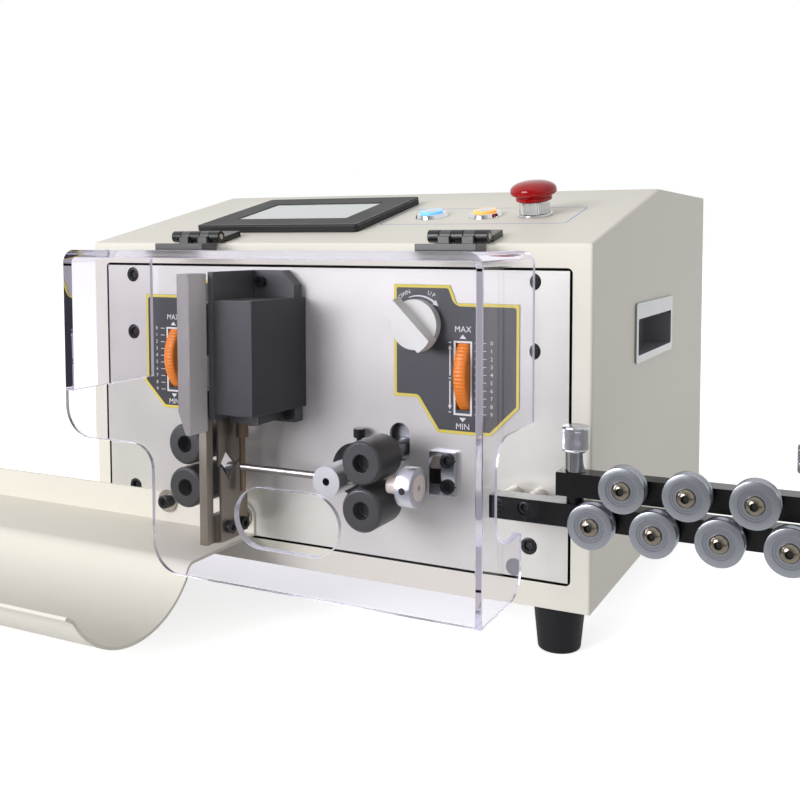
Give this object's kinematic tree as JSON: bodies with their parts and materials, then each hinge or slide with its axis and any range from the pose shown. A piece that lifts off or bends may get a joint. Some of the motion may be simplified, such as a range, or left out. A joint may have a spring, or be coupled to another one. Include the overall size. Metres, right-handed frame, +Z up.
{
  "type": "wire cutting and stripping machine",
  "caption": "Bench machine that feeds, cuts and strips wire: sloped control panel, clear hinged guard, roller feed, V blades, grooved-roller straightener and round wire tray.",
  "frame": {"origin": "middle of the outline, on the table under the feet", "axes": "+X along the wire from the tray to the straightener, +Y from the front plate to the back, +Z up"},
  "size_m": [0.682, 0.5439, 0.3112],
  "materials": {
    "cream_paint": "fine powder coat",
    "zinc_sheet": "zinc-plated sheet",
    "foot_rubber": "matt",
    "brushed_plate": "brushed across",
    "black_oxide": "blackened steel",
    "overlay": "printed sheet",
    "orange_plastic": "moulded, finely notched rim",
    "white_plastic": "moulded",
    "machined_steel": "milled",
    "roller_black": "ground",
    "shaft_steel": "turned",
    "motor_black": "satin",
    "head_black": "satin black",
    "screw_brass": "turned",
    "blade_steel": "ground",
    "bright_metal": "turned",
    "guide_steel": "drawn tube",
    "chrome_block": "polished",
    "ceramic": "white ceramic",
    "bar_black": "black anodised",
    "pulley_steel": "ground",
    "axle_steel": "turned",
    "thumb_steel": "knurled",
    "clear_sheet": "clear acrylic",
    "hinge_black": "moulded",
    "screen_frame": "moulded",
    "screen_face": "dark-lit panel",
    "blue_lens": "translucent",
    "orange_lens": "translucent",
    "bezel_chrome": "polished",
    "stop_red": "moulded",
    "electronics": "board and case",
    "inlet_black": "moulded"
  },
  "bodies": {
    "frame": {"housing": "cream_paint", "base_plate": "zinc_sheet", "rear_cover": "cream_paint", "feet": "foot_rubber", "front_plate": "brushed_plate", "fixed_bolts": "black_oxide", "scale_overlays": "overlay", "roller_frames": "machined_steel", "drive_motors": "motor_black", "head_body": "head_black", "head_cover": "head_black", "inlet_bracket": "chrome_block", "inlet_bush": "ceramic", "straightener_lower_bar": "bar_black", "tray": "cream_paint", "body_hinge_leaves": "hinge_black", "screen_bezel": "screen_frame", "screen_glass": "screen_face", "control_bezels": "bezel_chrome", "side_handles": "bezel_chrome", "control_electronics": "electronics", "power_inlet": "inlet_black"},
    "guard_cover": {"guard": "clear_sheet", "guard_hinge_leaves": "hinge_black"},
    "left_wheel": {"left_gap_wheel": "orange_plastic"},
    "right_wheel": {"right_gap_wheel": "orange_plastic"},
    "knob": {"lift_knob": "white_plastic"},
    "lifter": {"lift_bar": "machined_steel"},
    "left_block": {"left_gap_block": "machined_steel"},
    "right_block": {"right_gap_block": "machined_steel"},
    "lower_left_feed": {"left_lower_roller": "roller_black", "left_lower_shaft": "shaft_steel"},
    "upper_left_feed": {"left_upper_roller": "roller_black", "left_upper_shaft": "shaft_steel"},
    "lower_right_feed": {"right_lower_roller": "roller_black", "right_lower_shaft": "shaft_steel"},
    "upper_right_feed": {"right_upper_roller": "roller_black", "right_upper_shaft": "shaft_steel"},
    "screw": {"lead_screw": "screw_brass"},
    "upper_cutter": {"upper_blade_holder": "machined_steel", "upper_blade": "blade_steel"},
    "lower_cutter": {"lower_blade_holder": "machined_steel", "lower_blade": "blade_steel"},
    "swing_guide": {"swing_boss": "bright_metal", "guide_tube": "guide_steel"},
    "straightener_bar": {"straightener_upper_bar": "bar_black", "upper_axle_screws": "axle_steel"},
    "left_thumb": {"left_thumbscrew": "thumb_steel"},
    "right_thumb": {"right_thumbscrew": "thumb_steel"},
    "blue": {"blue_button": "blue_lens"},
    "orange": {"orange_button": "orange_lens"},
    "stop": {"stop_button": "stop_red"},
    "rocker": {"rocker_switch": "inlet_black"},
    "lower_roll_1": {"lower_pulley_1": "pulley_steel"},
    "lower_roll_2": {"lower_pulley_2": "pulley_steel"},
    "lower_roll_3": {"lower_pulley_3": "pulley_steel"},
    "lower_roll_4": {"lower_pulley_4": "pulley_steel"},
    "upper_roll_1": {"upper_pulley_1": "pulley_steel"},
    "upper_roll_2": {"upper_pulley_2": "pulley_steel"},
    "upper_roll_3": {"upper_pulley_3": "pulley_steel"}
  },
  "joints": [
    {"name": "guard_open", "type": "hinge", "parent": "frame", "child": "guard_cover", "pos_m": [0, -0.09333, 0.2694], "axis": [-1, 0, 0], "range_deg": [0, 105]},
    {"name": "blue_press", "type": "slide", "parent": "frame", "child": "blue", "axis": [0, 0.2257, -0.9742], "range_m": [0, 0.0025], "stiffness_N_per_m": 300, "springref_m": -0.002},
    {"name": "orange_press", "type": "slide", "parent": "frame", "child": "orange", "axis": [0, 0.2257, -0.9742], "range_m": [0, 0.0025], "stiffness_N_per_m": 300, "springref_m": -0.002},
    {"name": "stop_press", "type": "slide", "parent": "frame", "child": "stop", "axis": [0, 0.2257, -0.9742], "range_m": [0, 0.004], "stiffness_N_per_m": 400, "springref_m": -0.002},
    {"name": "left_wheel_turn", "type": "hinge", "parent": "frame", "child": "left_wheel", "pos_m": [-0.12, -0.06673, 0.18], "axis": [-1, 0, 0], "range_deg": [0, 270]},
    {"name": "right_wheel_turn", "type": "hinge", "parent": "frame", "child": "right_wheel", "pos_m": [0.115, -0.06673, 0.18], "axis": [-1, 0, 0], "range_deg": [0, 270]},
    {"name": "knob_turn", "type": "hinge", "parent": "frame", "child": "knob", "pos_m": [0.083, -0.09033, 0.212], "axis": [0, 1, 0], "range_deg": [0, 90.1]},
    {"name": "lift_slide", "type": "slide", "parent": "frame", "child": "lifter", "axis": [0, 0, 1], "range_m": [0, 0.006]},
    {"name": "left_gap_slide", "type": "slide", "parent": "lifter", "child": "left_block", "axis": [0, 0, 1], "range_m": [0, 0.00301]},
    {"name": "right_gap_slide", "type": "slide", "parent": "lifter", "child": "right_block", "axis": [0, 0, 1], "range_m": [0, 0.00301]},
    {"name": "lower_left_spin", "type": "hinge", "parent": "frame", "child": "lower_left_feed", "pos_m": [-0.068, -0.09033, 0.0987], "axis": [0, 1, 0], "continuous": true},
    {"name": "upper_left_spin", "type": "hinge", "parent": "left_block", "child": "upper_left_feed", "pos_m": [-0.068, -0.09033, 0.1285], "axis": [0, 1, 0], "continuous": true},
    {"name": "lower_right_spin", "type": "hinge", "parent": "frame", "child": "lower_right_feed", "pos_m": [0.069, -0.09033, 0.0987], "axis": [0, 1, 0], "continuous": true},
    {"name": "upper_right_spin", "type": "hinge", "parent": "right_block", "child": "upper_right_feed", "pos_m": [0.069, -0.09033, 0.1285], "axis": [0, 1, 0], "continuous": true},
    {"name": "screw_turn", "type": "hinge", "parent": "frame", "child": "screw", "pos_m": [-0.027, -0.12033, 0.175], "axis": [0, 0, 1], "range_deg": [0, 792.5]},
    {"name": "upper_blade_slide", "type": "slide", "parent": "frame", "child": "upper_cutter", "axis": [0, 0, -1], "range_m": [0, 0.011]},
    {"name": "lower_blade_slide", "type": "slide", "parent": "frame", "child": "lower_cutter", "axis": [0, 0, 1], "range_m": [0, 0.01101]},
    {"name": "swing_turn", "type": "hinge", "parent": "frame", "child": "swing_guide", "pos_m": [0.042, -0.09033, 0.1136], "axis": [0, 1, 0], "range_deg": [0, 20]},
    {"name": "straightener_slide", "type": "slide", "parent": "frame", "child": "straightener_bar", "axis": [0, 0, 1], "range_m": [0, 0.006]},
    {"name": "left_thumb_turn", "type": "hinge", "parent": "straightener_bar", "child": "left_thumb", "pos_m": [0.197, -0.11333, 0.1263], "axis": [0, 0, 1], "range_deg": [0, 2161]},
    {"name": "right_thumb_turn", "type": "hinge", "parent": "straightener_bar", "child": "right_thumb", "pos_m": [0.3285, -0.11333, 0.1263], "axis": [0, 0, 1], "range_deg": [0, 2161]},
    {"name": "lower_roll_1_spin", "type": "hinge", "parent": "frame", "child": "lower_roll_1", "pos_m": [0.2115, -0.12833, 0.1033], "axis": [0, 1, 0], "continuous": true},
    {"name": "lower_roll_2_spin", "type": "hinge", "parent": "frame", "child": "lower_roll_2", "pos_m": [0.2475, -0.12833, 0.1033], "axis": [0, 1, 0], "continuous": true},
    {"name": "lower_roll_3_spin", "type": "hinge", "parent": "frame", "child": "lower_roll_3", "pos_m": [0.2835, -0.12833, 0.1033], "axis": [0, 1, 0], "continuous": true},
    {"name": "lower_roll_4_spin", "type": "hinge", "parent": "frame", "child": "lower_roll_4", "pos_m": [0.3195, -0.12833, 0.1033], "axis": [0, 1, 0], "continuous": true},
    {"name": "upper_roll_1_spin", "type": "hinge", "parent": "straightener_bar", "child": "upper_roll_1", "pos_m": [0.2295, -0.12833, 0.1263], "axis": [0, 1, 0], "continuous": true},
    {"name": "upper_roll_2_spin", "type": "hinge", "parent": "straightener_bar", "child": "upper_roll_2", "pos_m": [0.2655, -0.12833, 0.1263], "axis": [0, 1, 0], "continuous": true},
    {"name": "upper_roll_3_spin", "type": "hinge", "parent": "straightener_bar", "child": "upper_roll_3", "pos_m": [0.3015, -0.12833, 0.1263], "axis": [0, 1, 0], "continuous": true},
    {"name": "rocker_turn", "type": "hinge", "parent": "frame", "child": "rocker", "pos_m": [0.112, 0.26267, 0.097], "axis": [1, 0, 0], "range_deg": [0, 16]}
  ],
  "couplings": [
    {"joint": "knob_turn", "follows": "lift_slide", "rad_per_m": 261.8},
    {"joint": "left_gap_slide", "follows": "left_wheel_turn", "m_per_rad": 0.00063662},
    {"joint": "right_gap_slide", "follows": "right_wheel_turn", "m_per_rad": 0.00063662},
    {"joint": "upper_left_spin", "follows": "lower_left_spin", "ratio": -1},
    {"joint": "upper_right_spin", "follows": "lower_right_spin", "ratio": -1},
    {"joint": "screw_turn", "follows": "upper_blade_slide", "rad_per_m": 1256.6},
    {"joint": "lower_blade_slide", "follows": "upper_blade_slide", "ratio": 1},
    {"joint": "left_thumb_turn", "follows": "straightener_slide", "rad_per_m": 6283.2},
    {"joint": "right_thumb_turn", "follows": "straightener_slide", "rad_per_m": 6283.2}
  ]
}
